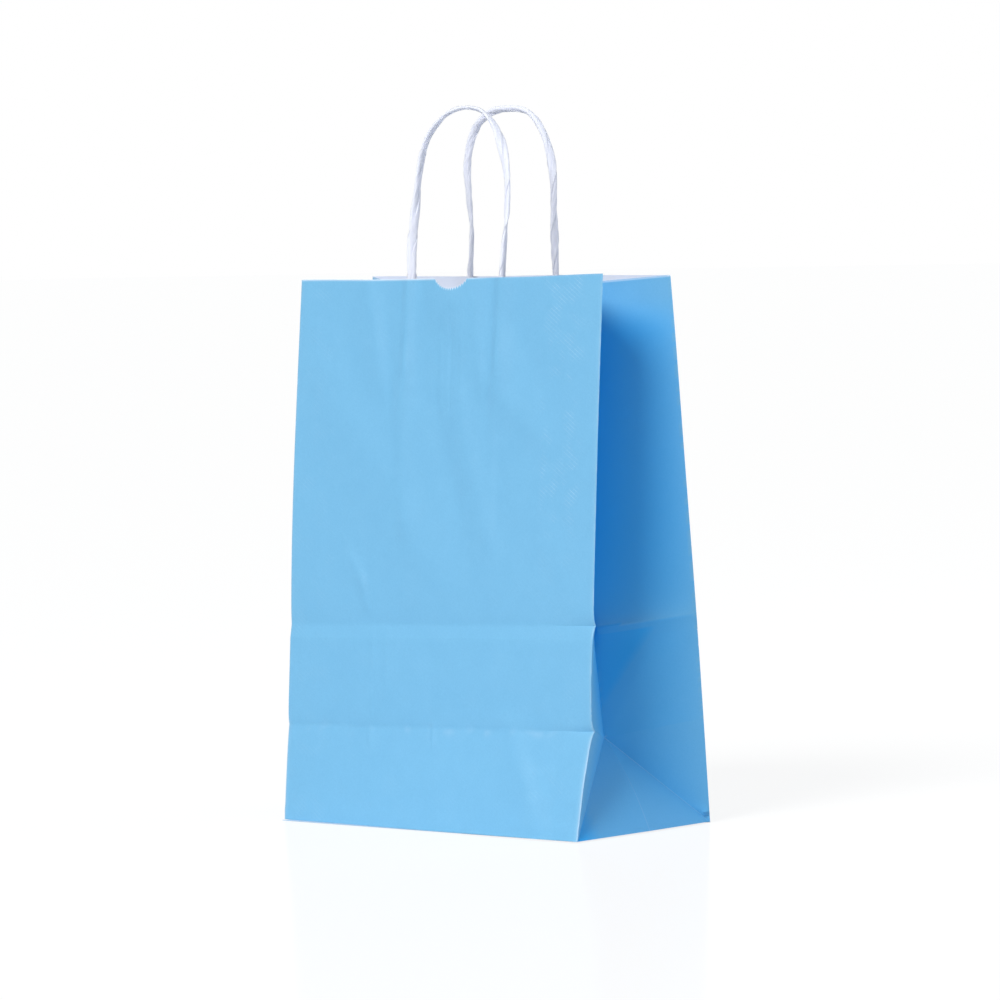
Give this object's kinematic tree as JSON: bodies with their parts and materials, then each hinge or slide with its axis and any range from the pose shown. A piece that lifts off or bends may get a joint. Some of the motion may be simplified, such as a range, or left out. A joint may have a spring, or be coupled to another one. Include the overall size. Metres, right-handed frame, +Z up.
{
  "type": "paper carrier bag",
  "caption": "Small upright kraft paper bag with gusseted sides, folded block bottom, a thumb notch at the mouth and twisted paper handles; carries light goods by hand.",
  "frame": {"origin": "middle of the base, where the bag stands on the table", "axes": "+Z up to the mouth and handles, X along the width, the front panel with the thumb notch faces -Y"},
  "size_m": [0.15, 0.08, 0.275],
  "materials": {
    "bag_paper": "printed light blue outside, white inside, matt to satin",
    "handle_cord": "white twisted paper, satin",
    "patch_paper": "white matt paper"
  },
  "bodies": {
    "root": {"bag_body": "bag_paper", "front_handle": "handle_cord", "back_handle": "handle_cord", "front_outer_patch": "patch_paper", "front_inner_patch": "patch_paper", "back_outer_patch": "patch_paper", "back_inner_patch": "patch_paper"}
  },
  "joints": []
}
